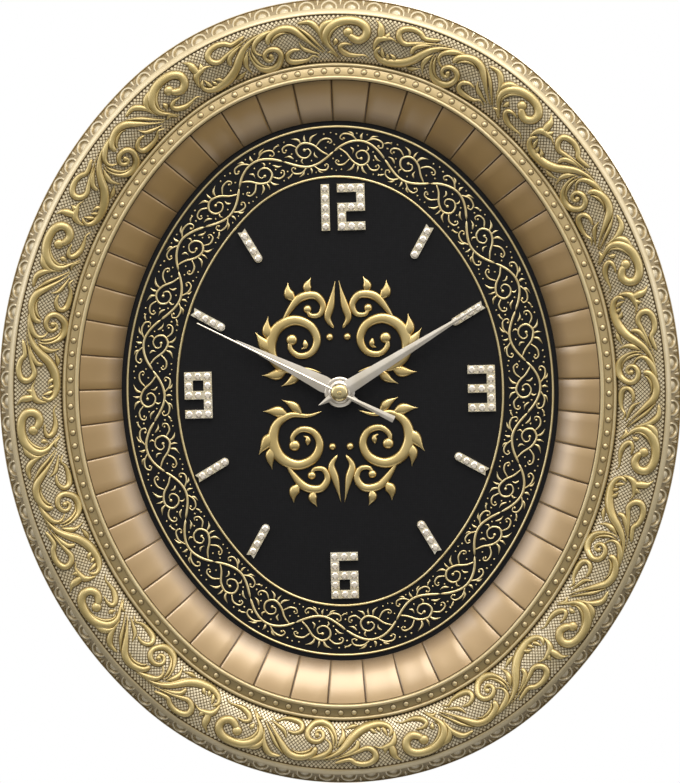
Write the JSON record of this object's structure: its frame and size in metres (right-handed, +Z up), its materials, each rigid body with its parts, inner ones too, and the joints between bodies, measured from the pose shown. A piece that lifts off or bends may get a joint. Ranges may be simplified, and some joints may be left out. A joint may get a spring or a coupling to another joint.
{
  "type": "oval wall clock",
  "caption": "Oval wall clock with a carved scroll frame, a fluted cove, a black dial with crystal hour marks, three hands and a quartz movement behind.",
  "frame": {"origin": "centre of the hanger's nail hole, in the plane of the wall", "axes": "+Z up the wall, +X to the right as seen from the front, +Y into the wall, so the dial faces -Y"},
  "size_m": [0.3538, 0.043, 0.4078],
  "materials": {
    "antique_gold": "metallic antique gold on moulded plastic",
    "satin_bronze": "satin bronze-gold on moulded plastic",
    "black_dial": "fine linen-grained black board",
    "pale_gold": "pale gold plated relief",
    "cream_gold": "cream gold plated",
    "crystal": "clear cut stones with a foil back",
    "zinc_steel": "zinc plated",
    "black_case": "moulded matt",
    "black_rubber": "matt",
    "brass": "turned",
    "white_plastic": "moulded acetal",
    "copper_winding": "enamelled wire",
    "green_board": "solder resist",
    "battery_jacket": "plain jacket",
    "champagne_metal": "satin champagne"
  },
  "bodies": {
    "clock_case": {"frame_moulding": "antique_gold", "cove_ring": "satin_bronze", "dial_panel": "black_dial", "outer_trim_ring": "pale_gold", "inner_trim_ring": "pale_gold", "vine_band": "pale_gold", "centre_ornament": "pale_gold", "numeral_twelve": "cream_gold", "numeral_three": "cream_gold", "numeral_six": "cream_gold", "numeral_nine": "cream_gold", "hour_bars": "cream_gold", "crystals": "crystal", "dial_screws": "zinc_steel", "hanger_plate": "zinc_steel", "hanger_screws": "zinc_steel", "movement_case": "black_case", "movement_back_cover": "black_case", "rubber_washer": "black_rubber", "fixing_nut": "brass", "middle_plate": "white_plastic", "stator": "zinc_steel", "coil": "copper_winding", "circuit_board": "green_board", "quartz_crystal": "zinc_steel", "contact_positive": "zinc_steel", "contact_negative": "zinc_steel", "battery": "battery_jacket"},
    "rotor_body": {"rotor": "zinc_steel"},
    "fifth_body": {"fifth_wheel": "white_plastic"},
    "second_body": {"second_wheel": "brass", "second_hand": "champagne_metal", "hand_cap": "cream_gold"},
    "third_body": {"third_wheel": "white_plastic"},
    "minute_body": {"centre_wheel": "brass", "minute_hand": "champagne_metal"},
    "minute_wheel_body": {"minute_wheel": "white_plastic", "setting_knob": "black_case"},
    "hour_body": {"hour_wheel": "white_plastic", "hour_hand": "champagne_metal"}
  },
  "joints": [
    {"name": "second_turn", "type": "hinge", "parent": "clock_case", "child": "second_body", "pos_m": [0, 0, -0.183], "axis": [0, 1, 0], "continuous": true},
    {"name": "rotor_turn", "type": "hinge", "parent": "clock_case", "child": "rotor_body", "pos_m": [0.01266, 0, -0.18481], "axis": [0, 1, 0], "continuous": true},
    {"name": "fifth_turn", "type": "hinge", "parent": "clock_case", "child": "fifth_body", "pos_m": [0.0077, 0, -0.183], "axis": [0, 1, 0], "continuous": true},
    {"name": "third_turn", "type": "hinge", "parent": "clock_case", "child": "third_body", "pos_m": [-0.00636, 0, -0.17664], "axis": [0, 1, 0], "continuous": true},
    {"name": "minute_turn", "type": "hinge", "parent": "clock_case", "child": "minute_body", "pos_m": [0, 0, -0.183], "axis": [0, 1, 0], "continuous": true},
    {"name": "setting_turn", "type": "hinge", "parent": "clock_case", "child": "minute_wheel_body", "pos_m": [0.00636, 0, -0.17664], "axis": [0, 1, 0], "continuous": true},
    {"name": "hour_turn", "type": "hinge", "parent": "clock_case", "child": "hour_body", "pos_m": [0, 0, -0.183], "axis": [0, 1, 0], "continuous": true}
  ],
  "couplings": [
    {"joint": "fifth_turn", "follows": "second_turn", "ratio": -6},
    {"joint": "rotor_turn", "follows": "second_turn", "ratio": 30},
    {"joint": "third_turn", "follows": "second_turn", "ratio": -0.13333},
    {"joint": "minute_turn", "follows": "second_turn", "ratio": 0.016667},
    {"joint": "setting_turn", "follows": "second_turn", "ratio": -0.0055556},
    {"joint": "hour_turn", "follows": "second_turn", "ratio": 0.0013889}
  ]
}
